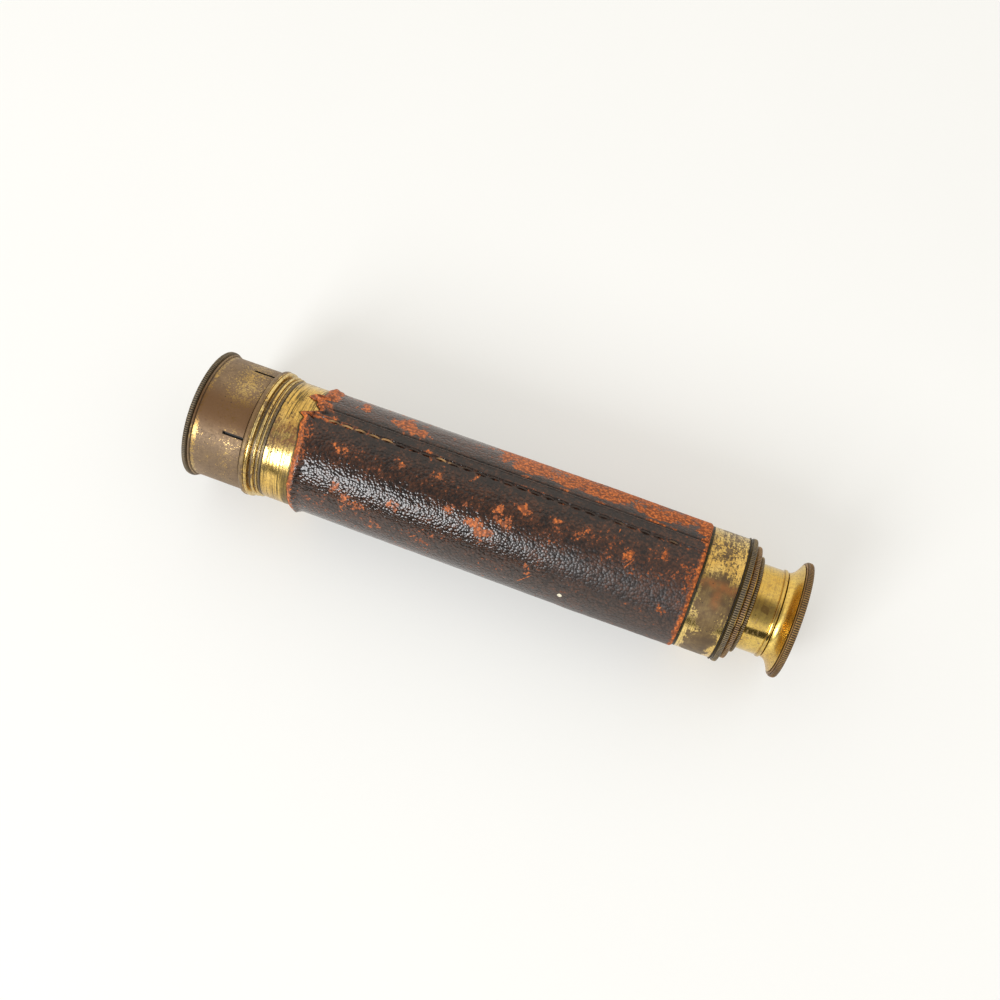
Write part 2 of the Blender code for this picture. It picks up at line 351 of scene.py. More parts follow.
class Surface(Graph):
    """A material's node tree, with places on the telescope in millimetres and degrees."""

    def __init__(self, name):
        self.material = bpy.data.materials.new(name)
        self.material.use_nodes = True
        super().__init__(self.material.node_tree)
        self.shader = self.tree.nodes["Principled BSDF"]
        self.place = self.add("ShaderNodeTexCoord").outputs["Object"]
        self.x, self.y, self.z = self.split(self.place)

    def cells(self, scale):
        """Distance from the nearest of many scattered points."""
        node = self.add("ShaderNodeTexVoronoi", self.place)
        node.inputs["Scale"].default_value = scale
        return node.outputs["Distance"]

    def station(self):
        return self.times(self.less(self.x, FRONT_X), 1 / MM)

    def radius(self):
        """Millimetres from the optical axis."""
        square = self.total((self.y, self.y), (self.z, self.z))
        return self.times(self.math("SQRT", square), 1 / MM)

    def angle(self):
        """Degrees around the axis from straight up towards +Y."""
        return self.times(self.math("ARCTAN2", self.y, self.z), 180 / pi)

    def stretched(self, along, around, distance=None):
        """Coordinates in millimetres, scaled along the axis and around it, for streaks."""
        return self.add(
            "ShaderNodeCombineXYZ", self.times(distance or self.station(), along),
            self.times(self.y, around / MM), self.times(self.z, around / MM),
        ).outputs[0]

    def distance(self, place, station, degrees, radius):
        """Metres from a place to the point at a station, angle and radius."""
        angle = radians(degrees)
        centre = (station_x(station), radius * sin(angle) * MM, radius * cos(angle) * MM)
        return self.vector("DISTANCE", place, centre)

    def spot(self, station, degrees, radius, size):
        """One inside a small ragged spot at a station and angle, in millimetres."""
        shape = self.times(self.noise(self.place, 420.0, 3.0, 0.6), 1.4 * size * MM)
        ragged = self.total(self.distance(self.place, station, degrees, radius), shape)
        return self.step(ragged, 1.8 * size * MM, 1.5 * size * MM)

    def warped(self, scale, reach):
        """The place pushed about by noise, which turns round spots into ragged ones."""
        push = self.noise(self.place, scale, 5.0, 0.68, output="Color")
        pushed = self.vector("MULTIPLY_ADD", push, (2 * reach,) * 3, self.place)
        return self.vector("SUBTRACT", pushed, (reach,) * 3)

    def torn_edge(self, angle):
        """Station of the leather's torn front edge, without its raggedness."""
        def swell(middle, width):
            offset = self.times(self.less(angle, middle), 1 / width)
            return self.math("EXPONENT", self.times(offset, offset, -1.0))
        edge = FRONT_EDGE
        for middle, width, rise in EDGE_SWELLS:
            edge = self.total((swell(middle, width), rise), edge)
        return edge

    def bumps(self, *layers):
        """Stack bump layers of (height, depth in metres)."""
        normal = None
        for height, depth in layers:
            node = self.add("ShaderNodeBump")
            node.inputs["Strength"].default_value = 1.0
            node.inputs["Distance"].default_value = depth
            self.put(node.inputs["Height"], height)
            if normal is not None:
                self.put(node.inputs["Normal"], normal)
            normal = node.outputs[0]
        self.put(self.shader.inputs["Normal"], normal)

    def finish(self, colour, rough, metal=None):
        self.put(self.shader.inputs["Base Color"], as_colour(colour))
        self.put(self.shader.inputs["Roughness"], rough)
        self.put(self.shader.inputs["Metallic"], metal)
        return self.material


def as_colour(value):
    return (*value, 1.0) if isinstance(value, tuple) and len(value) == 3 else value


BRASS_BRIGHT = (0.78, 0.55, 0.15)
BRASS_DEEPER = (0.80, 0.70, 0.52)  # shares of a brass tint in its deeper patches
BRASS_BROWN = (0.27, 0.170, 0.090)
BRASS_DARK = (0.095, 0.060, 0.034)
# dark dirt, and the same colour as painted shade in the cap's slits and steps and between milled
# teeth
DIRT_AND_SHADE = (0.022, 0.016, 0.010)
GROOVE = (0.115, 0.090, 0.074)


def spun_lines(g):
    """Fine lines around a turned surface, some deeper than others, and rings on its end faces."""
    along = g.total(g.station(), g.radius())
    fine = g.noise(g.stretched(9.0, 0.02, along), 1.0, 3.0, 0.7)
    broad = g.noise(g.stretched(2.2, 0.03, along), 1.0, 2.0, 0.6)
    return g.total((fine, 0.6), (broad, 0.4))


def covered(g, texture, share, soft=0.035):
    """One over about this share of the surface, where the texture is highest."""
    edge = g.total((share, -0.36), 0.68)
    return g.step(g.less(texture, edge), -soft, soft)


def tarnish_texture(g, fine):
    """Blotches, smaller spots and short marks along the turning; fine is the size of the spots."""
    big = g.noise(g.place, 90.0, 4.0, 0.65, 0.3)
    small = g.noise(g.place, fine, 4.0, 0.7)
    streak = g.noise(g.stretched(1.3, 0.30), 1.0, 4.0, 0.7)
    return g.total((big, 0.30), (small, 0.38), (streak, 0.32))


def brass(name, tarnish, flecks=None, tint=BRASS_BRIGHT, brown=BRASS_BROWN, rough=0.18,
          lines=0.00001, grime_and_shade=None, milled=None, clean_inside=True, stain=None, fine=800.0,
          scratches=0.30, grain=0.000015, thin=0.80):
    """Brass, bright where it is rubbed and brown where it has tarnished.

    tarnish is a share from 0 to 1 or a function of the surface that returns one, as flecks does.
    grime and stain return a share and a colour; grime's darkening is real dirt on some pieces
    and painted shade on others. milled names a milled node, which has painted shade between its
    teeth. lines and grain are depths in metres, fine is the scale of the small spots and thin is
    the least depth of the tarnish's colour.
    """
    g = Surface(name)
    share = tarnish(g) if callable(tarnish) else tarnish
    small = g.noise(g.place, 900.0, 4.0, 0.7)
    wide = g.noise(g.place, 45.0, 3.0, 0.6)
    spun = spun_lines(g)
    patina = covered(g, tarnish_texture(g, fine), share)
    if flecks:
        grains = g.total((g.noise(g.place, 1700.0, 2.0, 0.6), 0.70),
                         (g.noise(g.place, 360.0, 3.0, 0.6), 0.30))
        worn = covered(g, grains, flecks(g), 0.025)
        patina = g.times(patina, g.total((worn, -0.72), 1.0))
    spots = g.step(g.cells(420.0), 0.16, 0.08)
    spots = g.times(spots, g.step(g.noise(g.place, 160.0, 1.0), 0.50, 0.56))
    deep = tuple(part * deeper for part, deeper in zip(tint, BRASS_DEEPER))
    clean = g.mix(g.step(wide, 0.36, 0.62), tint, deep)
    clean = g.mix(g.times(g.step(small, 0.44, 0.64), 0.40), clean, BRASS_BROWN)
    clean = g.mix(g.times(g.step(spun, 0.50, 0.60), scratches), clean, BRASS_DARK)
    film = g.mix(g.step(wide, 0.40, 0.62), brown, tuple(0.74 * c for c in brown))
    film = g.mix(g.times(g.step(small, 0.46, 0.66), 0.42), film, BRASS_DARK)
    depth = g.step(g.noise(g.place, 330.0, 4.0, 0.6), 0.38, 0.60, thin, 1.0)
    colour = g.mix(g.times(patina, depth), clean, film)
    if stain:
        amount, tone = stain(g)
        colour = g.mix(amount, colour, tone)
    colour = g.mix(g.times(spots, 0.70), colour, DIRT_AND_SHADE)
    if milled:
        foot = span(milled)[2] - 0.5
        teeth_shade = g.math("COSINE", g.times(g.angle(), TEETH[milled] * pi / 180))
        teeth_shade = g.step(teeth_shade, 0.55, -0.45)
        outer = g.step(g.radius(), foot - 0.05, foot + 0.05)
        if clean_inside:
            patina = g.times(patina, outer)
            colour = g.mix(outer, clean, colour)
        # painted shade between the milled teeth
        colour = g.mix(g.times(teeth_shade, outer, 0.94), colour, DIRT_AND_SHADE)
    roughness = g.total((patina, 0.25), rough, (g.step(small, 0.4, 0.7), 0.07))
    # this darkening is real dirt on some pieces and painted shade on others
    if grime_and_shade:
        dirt, tone = grime_and_shade(g)
        dirt = g.math("MINIMUM", g.times(dirt, g.step(small, 0.2, 0.5, 0.75, 1.0)), 1.0)
        colour = g.mix(dirt, colour, tone)
        roughness = g.total(roughness, (dirt, 0.25))
    g.bumps((spun, lines), (small, grain))
    return g.finish(colour, roughness, g.total((patina, -0.62), 1.0))


def cap_flecks(g):
    """Worn flecks, denser towards the rear of the cap and on its upper side."""
    station, angle = g.station(), g.angle()
    rear = g.window(station, 11.0, 22.5, 5.0)
    top = g.window(angle, -12.0, 60.0, 18.0)
    lower = g.times(g.window(angle, -82.0, -24.0, 12.0), g.window(station, 15.0, 20.5, 3.0))
    rim = g.window(station, 3.0, 4.6, 0.9)
    rubbed = g.times(g.window(station, 3.0, 5.6, 2.0), g.window(angle, -46.0, -28.0, 9.0))
    return g.total((rear, top, 0.40), (lower, 0.20), (rim, 0.40), (rubbed, 0.46), 0.12)


def cap_stain(g):
    """A redder brown along the front of the cap."""
    return g.times(g.window(g.angle(), -28.0, 8.0, 12.0), 0.88), (0.135, 0.062, 0.019)


def face_step_shade(g):
    """Painted shade in the two steps of the cap's front face."""
    outer = span("cap_plate")[2]
    steps = ((outer - 3.35, outer - 3.0), (outer - 6.4, outer - 6.05))
    at_steps = g.windows(g.radius(), 0.15, *steps)
    return g.times(at_steps, g.step(g.station(), 1.2, 0.9), 0.8), DIRT_AND_SHADE


def dish_grime(g):
    """Dirt round the boss in the eyecup's dish, and in the step inside its rim."""
    outer = span("eyecup")[2]
    radius = g.radius()
    foot = g.window(radius, 7.25, 7.85, 0.15)
    step = g.window(radius, outer - 2.95, outer - 2.65, 0.12)
    return g.times(g.most(foot, step), 0.75), DIRT_AND_SHADE


SLITS = 5  # in the cap's skirt
FIRST_SLIT = -29.0  # degrees


def slit_shade(g):
    """Painted shade in the slits and inside the cap, and darker behind the cap's bead."""
    station = g.station()
    turn = g.math("WRAP", g.less(g.angle(), FIRST_SLIT), 180.0 / SLITS, -180.0 / SLITS)
    slit = g.times(g.step(g.math("ABSOLUTE", turn), 1.7, 1.1), g.step(station, 14.6, 15.1))
    bead_foot = g.times(g.window(station, 2.95, 3.25, 0.12), 0.6)
    inside = g.step(g.radius(), 24.55, 24.35)
    return g.most(slit, bead_foot, inside), DIRT_AND_SHADE


def collar_grime(g):
    """Dark dirt in the grooves between the beads."""
    station = g.station()
    broad = g.window(station, 27.45, 28.40, 0.20)
    narrow = g.windows(station, 0.14, (29.90, 30.45), (31.30, 32.2))
    return g.times(g.most(broad, narrow), 0.90), GROOVE


def collar_stain(g):
    """The cap's redder brown carries on over the front of the collar."""
    front = g.times(g.step(g.station(), 26.2, 25.4), 0.65)
    return g.times(g.window(g.angle(), -30.0, 10.0, 12.0), front), (0.150, 0.074, 0.026)


def collar_tarnish(g):
    """Brown in front like the cap, golden on the beads where hands rub."""
    station, angle = g.station(), g.angle()
    front = g.step(station, 26.0, 25.3)
    return g.total((g.window(angle, -24.0, 5.0, 14.0), 0.12), 0.34, (front, 0.42))


def barrel_tarnish(g):
    """Golden above, a broad brown patch facing the front, and patches below."""
    station, angle = g.station(), g.angle()
    rear = g.step(station, 150.0, 190.0)
    front = g.inverse(rear)
    sway = g.times(g.less(g.noise(g.place, 110.0, 4.0, 0.6), 0.5), 16.0)
    middle = g.window(g.total(station, sway), 206.2, 212.8, 3.0)
    patch = g.window(angle, -52.0, 0.0, 12.0)
    lower = g.window(angle, -110.0, -56.0, 8.0)
    upper = g.window(angle, 8.0, 80.0, 14.0)
    at_rear = g.total((patch, g.total((middle, 0.46), 0.36)), (lower, middle),
                      (upper, g.total((middle, 0.12), 0.24)))
    at_front = g.total((g.window(angle, -25.0, 2.0, 12.0), 0.30), 0.06)
    return g.total((at_rear, rear), (at_front, front), 0.22)


def barrel_stain(g):
    """A reddish heart in the rear's brown patch, and orange-brown along the side near both ends."""
    station, angle = g.station(), g.angle()
    heart = g.times(g.window(station, 209.3, 211.8, 2.0), g.window(angle, -27.0, -14.0, 8.0))
    band = g.times(g.window(angle, -13.0, -6.0, 4.0), g.step(station, 150.0, 190.0, 0.0, 0.65))
    near = g.times(g.window(angle, -23.0, 2.0, 10.0), g.step(station, 60.0, 50.0, 0.0, 0.42))
    uneven = g.step(g.noise(g.place, 260.0, 4.0, 0.65), 0.36, 0.58, 0.25, 1.0)
    return g.times(g.most(g.times(heart, 0.9), band, near), uneven), (0.36, 0.130, 0.036)


def barrel_grime_and_shadow(g):
    """Verdigris at the leather's ends, painted shadow along its torn front edge, and old scratches.
    """
    station = g.station()
    rear_line = g.window(station, 201.0, 202.85, 0.18)
    collar_line = g.step(station, 32.9, 32.3)
    forward = g.step(station, 60.0, 50.0)
    gap = g.less(g.torn_edge(g.angle()), station)
    below = g.times(g.window(g.angle(), -105.0, -38.0, 14.0), g.step(gap, 3.4, 2.6, 0.0, 0.7))
    # painted shadow in a narrow band at the leather's torn front edge, with a wider band of verdigris
    # on the lower side
    under = g.times(g.most(g.step(gap, 1.1, 0.3, 0.0, 0.92), below), forward)
    scratch = g.noise(g.stretched(1.5, 0.045), 1.0, 3.0, 0.6)
    scratch = g.times(g.step(scratch, 0.565, 0.61), forward, 0.75)
    return g.most(rear_line, collar_line, under, scratch), (0.036, 0.031, 0.018)


def cove_darkening(g):
    """Near-black over the smooth cove in front of the barrel end ring's milled band."""
    rear = 217.7
    return g.times(g.step(g.station(), rear + 0.15, rear - 0.15), 0.93), DIRT_AND_SHADE


def neck_stain(g):
    """A brown stain on the neck, and dull spots."""
    dull = g.times(g.window(g.angle(), -22.0, -6.0, 8.0), 0.45)
    heart = g.times(g.spot(228.9, -15.0, 16.5, 1.8), 0.7)
    return g.most(dull, heart), (0.17, 0.080, 0.030)


def bead_grime(g):
    """Old polish in the two fine grooves beside the neck's bead."""
    grooves = g.windows(g.station(), 0.12, (232.70, 232.90), (234.50, 234.70))
    return g.times(grooves, 0.55), BRASS_DARK


FRONT_EDGE = 43.9
LEATHER_RADIUS = 24.8  # a middle value, in millimetres; leather_profile has the true ones
EDGE_SWELLS = (
    # degrees, width in degrees and millimetres by which the torn front edge sets back or juts out
    (3.0, 12.0, -1.9), (13.0, 2.6, -3.0), (21.0, 4.0, 2.8), (35.0, 2.1, -4.4), (48.0, 20.0, 0.5),
)

SCUFFS = (
    # station, degrees and size in millimetres of the scuffs that stand out
    (79.0, 42.0, 5.8), (86.0, 33.0, 4.5), (62.0, 50.0, 4.0), (83.0, 1.0, 2.2), (60.0, -6.0, 3.2),
    (98.5, -2.0, 2.2), (63.0, -42.0, 3.5), (68.0, -50.0, 5.0), (74.0, -58.0, 6.0),
    (80.0, -70.0, 5.5), (117.5, -28.0, 3.5), (121.0, -36.0, 3.5), (122.0, -43.0, 2.5),
    (125.0, -12.0, 3.7), (134.0, -3.0, 4.5), (146.5, -4.0, 3.2), (192.0, -46.0, 3.0),
    (142.0, -55.0, 2.2), (176.0, -10.0, 3.0), (86.0, -38.0, 2.6), (101.0, -40.0, 2.6),
    (107.0, -24.0, 2.6), (53.0, 16.0, 2.2), (93.0, 12.0, 2.0), (200.5, 24.0, 4.0),
    (110.0, 8.0, 1.6), (128.0, -22.0, 3.0), (155.0, -8.0, 3.0), (187.0, -1.0, 2.3),
)
# patches that stayed whole among the wear above the seam, in the same order of numbers
SOUND_LEATHER = ((171.0, 32.0, 5.0), (192.0, 33.0, 5.5), (138.0, 30.0, 4.0))
SCRATCHES = (
    # station and degrees of the middle, half length in millimetres and lean in degrees
    (141.3, -66.0, 4.2, 52.0), (176.4, -17.0, 2.5, 58.0), (169.2, 7.0, 0.9, 84.0),
    (96.0, -64.0, 2.0, 40.0),
)


def scratch_marks(g):
    """One along a few short straight scratches."""
    level = 0.0
    for station, degrees, half, lean in SCRATCHES:
        along = g.less(g.station(), station)
        across = g.times(g.less(g.angle(), degrees), LEATHER_RADIUS * pi / 180)
        sine, cosine = sin(radians(lean)), cos(radians(lean))
        length = g.total((along, cosine), (across, sine))
        width = g.total((across, cosine), (along, -sine))
        thin = g.step(g.math("ABSOLUTE", width), 0.26, 0.12)
        reach = g.step(g.math("ABSOLUTE", length), half, 0.7 * half)
        level = g.most(level, g.times(reach, thin))
    return level


def near_spots(g, spots, depth):
    """A share of depth near the listed spots, with broken edges."""
    level = 0.0
    place = g.warped(170.0, 0.0085)
    for station, degrees, size in spots:
        gap = g.distance(place, station, degrees, LEATHER_RADIUS)
        level = g.most(level, g.step(gap, size * MM * 1.25, size * MM * 0.45))
    return g.times(level, depth)


LEATHER_SHADOW = (0.008, 0.005, 0.004)
CREAM_PAINT = (0.80, 0.74, 0.55)


def lower_side(g):
    return g.window(g.angle(), -120.0, -48.0, 12.0)


def worn_rims(g, mottle, fine):
    """One along the torn front edge, which folds back beside the seam, and the rear edge."""
    behind = g.less(g.station(), g.torn_edge(g.angle()))
    torn = g.total(behind, (g.less(fine, 0.5), 3.0))
    fold = g.window(g.angle(), 24.0, 85.0, 4.0)
    front = g.most(g.step(torn, 2.5, 1.6), g.times(g.step(torn, 6.8, 5.6), fold))
    rear = g.step(g.total(g.station(), (mottle, 5.0)), 202.2, 203.4)
    return g.most(front, rear)


def leather_wear(g, mottle, blotch, fine):
    """Where the leather is worn down to tan, and where it is only rubbed."""
    station, angle = g.station(), g.angle()
    left = g.step(station, 80.0, 50.0)
    right = g.step(station, 108.0, 135.0)
    far_right = g.step(station, 175.0, 202.0)
    at_edge = g.step(g.less(station, g.torn_edge(angle)), 8.0, 1.0)
    upper = g.times(g.step(angle, 27.0, 36.0), g.step(angle, 120.0, 84.0, 0.40, 1.0))
    ridge = g.window(angle, 25.6, 28.5, 0.8)
    band = g.window(angle, 15.5, 25.5, 1.2)
    seam_row = g.window(angle, 12.0, 17.0, 1.0)
    middle = g.window(angle, -40.0, 6.0, 9.0)
    glossy = g.window(angle, -42.0, -27.0, 4.0)
    lower = lower_side(g)

    patches = g.total(
        (upper, g.total((right, 0.44), 0.26)), 0.02,
        (g.total(middle, (lower, 0.5)), far_right, 0.16), (band, far_right, 0.34),
        (ridge, g.total((right, 0.25), 0.12)),
        near_spots(g, SCUFFS, 0.58), near_spots(g, SOUND_LEATHER, -0.30),
    )
    large = g.total((blotch, 0.48), (mottle, 0.32), (fine, 0.20))
    patches_worn = covered(g, large, patches, 0.022)
    above = g.times(middle, g.inverse(g.times(glossy, 0.7)))
    spots = g.total(
        (above, g.total((right, 0.07), 0.13)), (seam_row, g.total((left, 0.22), 0.22)), 0.09,
        (upper, g.total((right, 0.10), 0.14)),
        (lower, g.step(station, 130.0, 90.0, 0.12, 0.20)),
        (middle, at_edge, 0.26), (middle, far_right, 0.10),
    )
    speckle = g.total((fine, 0.5), (mottle, 0.25), (blotch, 0.25))
    scratched = g.times(scratch_marks(g), g.step(fine, 0.34, 0.44))
    worn = g.most(patches_worn, covered(g, speckle, spots, 0.020), worn_rims(g, mottle, fine),
                  scratched)
    return worn, covered(g, speckle, g.total(spots, patches, 0.26), 0.05)


def leather_material():
    """Dark pebbled hide, a painted highlight on the seam's ridge, worn to tan, and one spot of paint.
    """
    g = Surface("pebbled_leather")
    angle = g.angle()
    pebble = g.cells(920.0)
    dome = g.times(pebble, pebble, -1.0)
    creases = g.noise(g.place, 620.0, 3.0, 0.6, 0.4)
    mottle = g.noise(g.place, 300.0, 4.0, 0.7)
    blotch = g.noise(g.place, 75.0, 4.0, 0.65, 0.4)
    fine = g.noise(g.place, 900.0, 3.0, 0.65)
    worn, rubbed = leather_wear(g, mottle, blotch, fine)

    hide = g.mix(g.step(blotch, 0.35, 0.65), (0.012, 0.0070, 0.0060), (0.022, 0.011, 0.0080))
    hide = g.mix(g.step(mottle, 0.46, 0.64), hide, (0.038, 0.017, 0.010))
    hide = g.mix(g.times(rubbed, 0.55), hide, (0.105, 0.038, 0.017))
    # painted sheen: the hide lighter and greyer on the lower side
    hide = g.mix(g.times(lower_side(g), 0.55), hide, (0.062, 0.040, 0.030))
    # painted highlight: the hide lighter along the welt's ridge
    welt = g.window(angle, 23.6, 24.9, 0.5)
    hide = g.mix(g.times(welt, 0.5), hide, (0.13, 0.095, 0.075))
    tan = g.mix(g.step(fine, 0.36, 0.62), (0.78, 0.205, 0.034), (0.42, 0.100, 0.020))
    colour = g.mix(g.times(worn, 0.92), hide, tan)
    colour = g.mix(g.times(g.step(pebble, 0.36, 0.66), 0.60), colour, LEATHER_SHADOW)
    under_edge = g.times(g.window(angle, 14.7, 15.7, 0.5), 0.75)
    crease = g.times(g.window(angle, 25.0, 26.0, 0.4), 0.8)
    colour = g.mix(g.most(under_edge, crease), colour, LEATHER_SHADOW)
    colour = g.mix(g.spot(155.9, -71.3, 24.95, 1.05), colour, CREAM_PAINT)
    dulled = g.step(g.station(), 100.0, 195.0, 0.0, 0.34)
    g.bumps((mottle, 0.00002), (creases, 0.00004), (dome, 0.00016))
    return g.finish(colour, g.total((worn, 0.45), (creases, 0.06), 0.07, dulled))


def thread_material():
    g = Surface("waxed_thread")
    station = g.station()
    twist = g.math("SINE", g.times(g.total(station, (g.angle(), 0.25)), 14.0))
    worn = g.total(g.noise(g.place, 110.0, 2.0), g.step(station, 60.0, 110.0, -0.12, 0.14))
    colour = g.mix(g.step(worn, 0.40, 0.56), (0.52, 0.29, 0.11), (0.035, 0.020, 0.013))
    colour = g.mix(g.step(twist, 0.2, 0.9, 0.0, 0.5), colour, (0.02, 0.012, 0.008))
    g.bumps((twist, 0.00008))
    return g.finish(colour, 0.62)


def black_material():
    g = Surface("blackened_brass")
    small = g.noise(g.place, 500.0, 4.0, 0.6)
    spun = spun_lines(g)
    worn = g.step(g.total((small, 0.6), (spun, 0.4)), 0.60, 0.70)
    colour = g.mix(worn, (0.018, 0.017, 0.016), (0.30, 0.20, 0.09))
    g.bumps((spun, 0.00002), (small, 0.00001))
    return g.finish(colour, g.total((small, 0.25), 0.38), g.total((worn, 0.5), 0.45))


def glass_material():
    g = Surface("optical_glass")
    dust = g.step(g.noise(g.place, 900.0, 4.0, 0.7), 0.60, 0.80)
    g.shader.inputs["Transmission Weight"].default_value = 1.0
    g.shader.inputs["IOR"].default_value = 1.52
    return g.finish((0.93, 0.96, 0.95), g.total((dust, 0.10), 0.01))


def glowing_table_material():
    g = Surface("pale_glowing_table")
    tone = g.noise(g.place, 6.0, 3.0, 0.5)
    g.bumps((g.noise(g.place, 900.0, 2.0), 0.00002))
    colour = g.mix(tone, (0.53, 0.535, 0.53), (0.56, 0.565, 0.56))
    # the table glows a little: painted light that softens the shadows on it
    g.shader.inputs["Emission Color"].default_value = (1.0, 0.985, 0.945, 1.0)
    g.shader.inputs["Emission Strength"].default_value = 0.345
    return g.finish(colour, 0.7)


# ---- cap

MILLING_PITCH = 0.905  # between the teeth of every milled edge, in millimetres
MILLED = ("cap_plate", "barrel_end_ring", "draw_1_end_ring", "draw_2_end_ring", "eyecup")
TEETH = {node: round(2 * pi * span(node)[2] / MILLING_PITCH) for node in MILLED}
SLOTS = {part["node"]: part["material_slot"] for part in frame["record"]["subparts"]}


def make_cap():
    """A plate with a milled rim and a stepped face, and a springy skirt with slits."""
    front, rear, radius = span("cap_plate")
    turned(
        "cap_plate",
        [(front + 0.70, 0.0), (front + 0.70, 0.8 * radius - 1.5), (front + 0.72, radius - 6.4),
         (front + 0.42, radius - 6.05), (front + 0.40, radius - 3.4),
         (front + 0.08, radius - 3.0), (front, radius - 2.5), (front, radius - 0.6),
         (front + 0.12, radius - 0.35)]
        + milled_band(front + 0.15, front + 1.65, radius, 0.28)
        + [(front + 1.7, radius - 0.6), (front + 1.75, radius - 2.0), (rear, radius - 2.0),
           (rear, radius - 3.0), (front + 1.7, radius - 3.0), (front + 1.7, 0.0)],
        CAP_RIM_BRASS, teeth=TEETH["cap_plate"], closed=False,
    )
    front, rear, radius = span("cap_skirt")
    skirt = radius - 0.65
    obj = turned(
        "cap_skirt",
        bead(front, front + 1.0, skirt + 0.1, radius)
        + [(front + 1.15, skirt - 0.02), (front + 1.5, skirt), (rear - 6.0, skirt + 0.02),
           (rear - 0.1, skirt + 0.04), (rear, skirt - 0.06), (rear, skirt - 0.6),
           (front, skirt - 0.6)],
        CAP_BRASS, columns=360,
    )
    slits = [radians(FIRST_SLIT + 360.0 * k / SLITS) for k in range(SLITS)]
    cut(obj, [slot_blade(a, rear - 8.3, rear + 1.0, 1.0, skirt) for a in slits])


# ---- barrel and objective

def make_collar():
    """The beaded collar that the cap slides over."""
    front, rear, radius = span("front_collar")
    crest, low = radius, radius - 1.9
    bore = radius - 4.3
    step = front + 8.4
    turned(
        "front_collar",
        [(front, crest - 1.15), (front + 0.15, crest - 0.55), (front + 0.6, crest - 0.15),
         (front + 1.2, crest), (front + 1.8, crest - 0.12), (front + 2.1, crest - 0.3)]
        + bead(front + 2.15, front + 3.55, crest - 0.75, crest - 0.15)
        + [(front + 3.65, low - 0.35), (front + 4.75, low - 0.35)]
        + bead(front + 4.8, front + 6.1, low - 0.15, crest - 1.0)
        + bead(front + 6.75, front + 7.55, low - 0.25, crest - 1.35)
        + [(step - 0.05, low - 0.3), (step, low - 0.35), (step, bore + 1.4), (rear, bore + 1.4),
           (rear, bore), (front, bore)],
        COLLAR_BRASS, columns=360, ease=0.05,
    )


def make_barrel():
    """The barrel tube, with turned lines in front of the leather."""
    front, rear, radius = span("barrel_tube")
    outline = [(front, radius - 0.05)]
    for k in range(7):
        station = front + 1.8 + 1.35 * k + 0.25 * sin(5.0 * k)
        depth = 0.035 + 0.02 * sin(3.0 * k)
        outline += [(station - 0.13, radius), (station, radius - depth), (station + 0.13, radius)]
    outline += [(rear - 13.0, radius), (rear - 6.0, radius), (rear + 0.5, radius - 0.02),
                (rear + 0.5, radius - 0.9), (front, radius - 0.9)]
    turned("barrel_tube", outline, BARREL_BRASS, columns=360, ease=0.03)


def make_objective():
    front, rear, radius = span("objective_cell")
    threads = []
    thread_pitch = 0.62
    for k in range(14):
        start = rear - 9.0 + k * thread_pitch
        threads += [(start, radius - 2.55), (start + thread_pitch / 2, radius - 2.25)]
    turned(
        "objective_cell",
        [(front, radius - 0.3), (front + 0.35, radius), (rear - 9.6, radius),
         (rear - 9.6, radius - 2.6)] + threads
        + [(rear, radius - 2.5), (rear, radius - 3.05), (front + 2.3, radius - 3.05),
           (front + 2.3, radius - 4.35), (front, radius - 3.95)],
        BLACK, ease=0.06,
    )
    make_lens("crown_lens", 1.7, 2.2)
    make_lens("flint_lens", -2.2, 0.0)


def make_lens(node, front_bulge, rear_bulge):
    """A lens whose faces bulge outwards by the given depths; a negative one is hollow."""
    front, rear, radius = span(node)
    start = front + max(front_bulge, 0.0)
    end = rear - max(rear_bulge, 0.0)
    steps = 12
    shares = [k / steps for k in range(steps + 1)]
    face = [(start - front_bulge * (1 - t * t), radius * t) for t in shares]
    back = [(end + rear_bulge * (1 - t * t), radius * t) for t in shares]
    turned(node, face + back[::-1], GLASS, columns=144, ease=0.05, dent=0.0, closed=False)


# ---- leather

LEATHER_COLUMNS = 360
LEATHER_ROWS = 266
SEAM = radians(15.0)
STITCHES = SEAM - 0.018
STITCH_PITCH = 5.4
FOLD = radians(25.5)


def smooth(low, high, value):
    """A smooth step from zero at low to one at high."""
    t = np.clip((value - low) / (high - low), 0.0, 1.0)
    return t * t * (3 - 2 * t)


def field(stations, angles, radius, size, seed, octaves=3):
    """Smooth noise over the unrolled leather, without a join where the angles meet."""
    ys, zs = radius * np.sin(angles) / size, radius * np.cos(angles) / size
    values = np.empty(stations.shape)
    for i in range(stations.shape[0]):
        for j in range(stations.shape[1]):
            values[i, j] = noise.fractal(
                (stations[i, j] / size + seed, ys[j], zs[j]), 1.0, 2.1, octaves
            )
    return values


def front_edge(angles):
    """The torn front edge: ragged all round, with two tongues and a notch beside the seam."""
    degrees = np.degrees((angles + pi) % (2 * pi) - pi)
    ragged = np.array([noise.fractal((9.0 * sin(a), 9.0 * cos(a), 4.0), 1.0, 2.0, 4)
                       for a in angles])
    edge = FRONT_EDGE + 0.45 * ragged
    for middle, width, rise in EDGE_SWELLS:
        edge += rise * np.exp(-((degrees - middle) / width) ** 2)
    return edge


def leather_profile(stations):
    """Outer radius of the cover along the barrel, a little fuller towards the rear."""
    marks = (42.0, 50.0, 74.0, 114.0, 126.0, 152.0, 160.0, 172.0, 192.0, 202.0)
    radii = (24.55, 24.6, 24.75, 24.78, 24.85, 24.9, 25.05, 24.92, 24.78, 24.72)
    return np.interp(stations, marks, radii)


def seam_weighted(columns):
    """Angles round the barrel, twice as close together near the seam."""
    even = np.linspace(0.0, 2 * pi, 721)
    weight = 1.0 + 1.2 * np.exp(-((even - radians(22.0)) / 0.20) ** 2)
    reached = np.concatenate([[0.0], np.cumsum((weight[1:] + weight[:-1]) / 2)])
    return np.interp(np.arange(columns) * reached[-1] / columns, reached, even)


